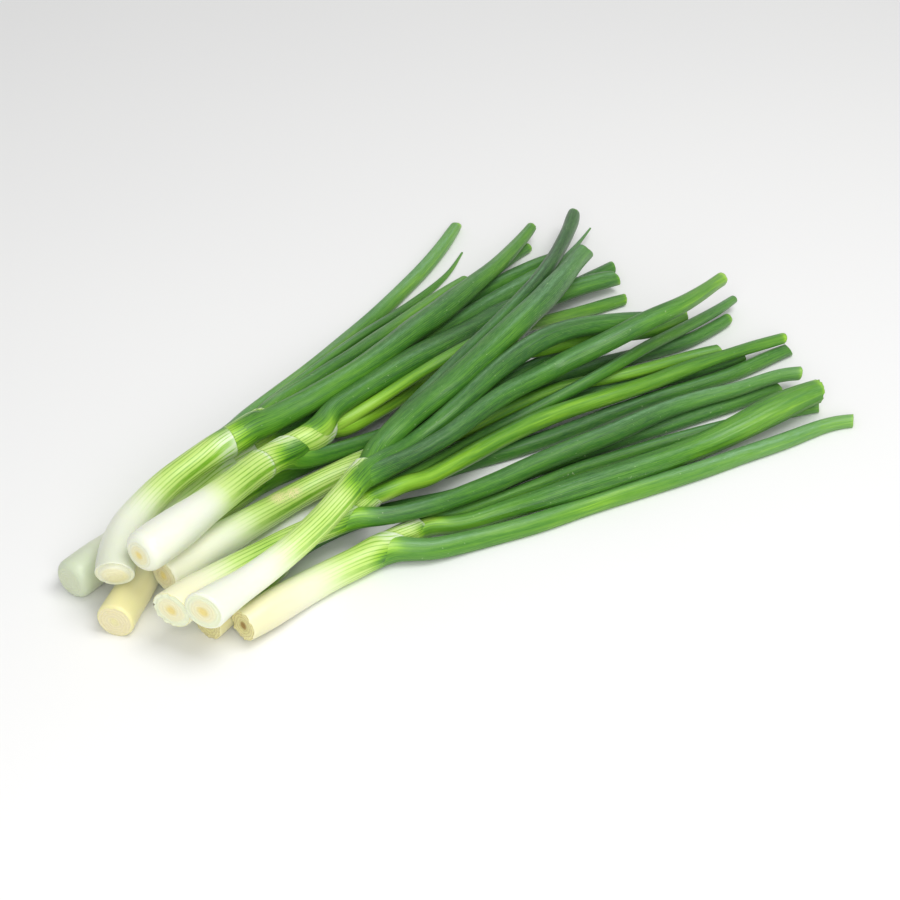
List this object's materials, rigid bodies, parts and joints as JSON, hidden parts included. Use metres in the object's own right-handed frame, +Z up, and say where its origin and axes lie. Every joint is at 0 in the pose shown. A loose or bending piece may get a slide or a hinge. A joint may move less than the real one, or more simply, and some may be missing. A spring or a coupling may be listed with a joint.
{
  "type": "spring onion bunch",
  "caption": "Loose bunch of trimmed spring onions lying flat: thick pale stalks with cut root ends and fans of hollow green leaves with cut tips.",
  "frame": {"origin": "centre of the bounding box in plan, at the surface that the bunch lies on", "axes": "+X along the bunch from the cut root ends to the leaf tips, +Y to its left, +Z up"},
  "size_m": [0.3862, 0.26, 0.0482],
  "materials": {
    "pale_stalk": "moist white flesh shading to yellow-green, with fine green veins and a soft gloss",
    "fresh_leaf": "bright green leaf with lengthwise veins and a waxy bloom, satin",
    "dark_leaf": "deep green leaf with a blue-grey waxy bloom, satin"
  },
  "bodies": {
    "root": {"onion_1_stalk": "pale_stalk", "onion_1_leaves": "dark_leaf", "onion_2_stalk": "pale_stalk", "onion_2_leaves": "fresh_leaf", "onion_3_stalk": "pale_stalk", "onion_3_leaves": "fresh_leaf", "onion_4_stalk": "pale_stalk", "onion_4_leaves": "fresh_leaf", "onion_5_stalk": "pale_stalk", "onion_5_leaves": "dark_leaf", "onion_6_stalk": "pale_stalk", "onion_6_leaves": "fresh_leaf", "onion_7_stalk": "pale_stalk", "onion_7_leaves": "dark_leaf", "onion_8_stalk": "pale_stalk", "onion_8_leaves": "fresh_leaf", "onion_9_stalk": "pale_stalk", "onion_9_leaves": "fresh_leaf"}
  },
  "joints": []
}
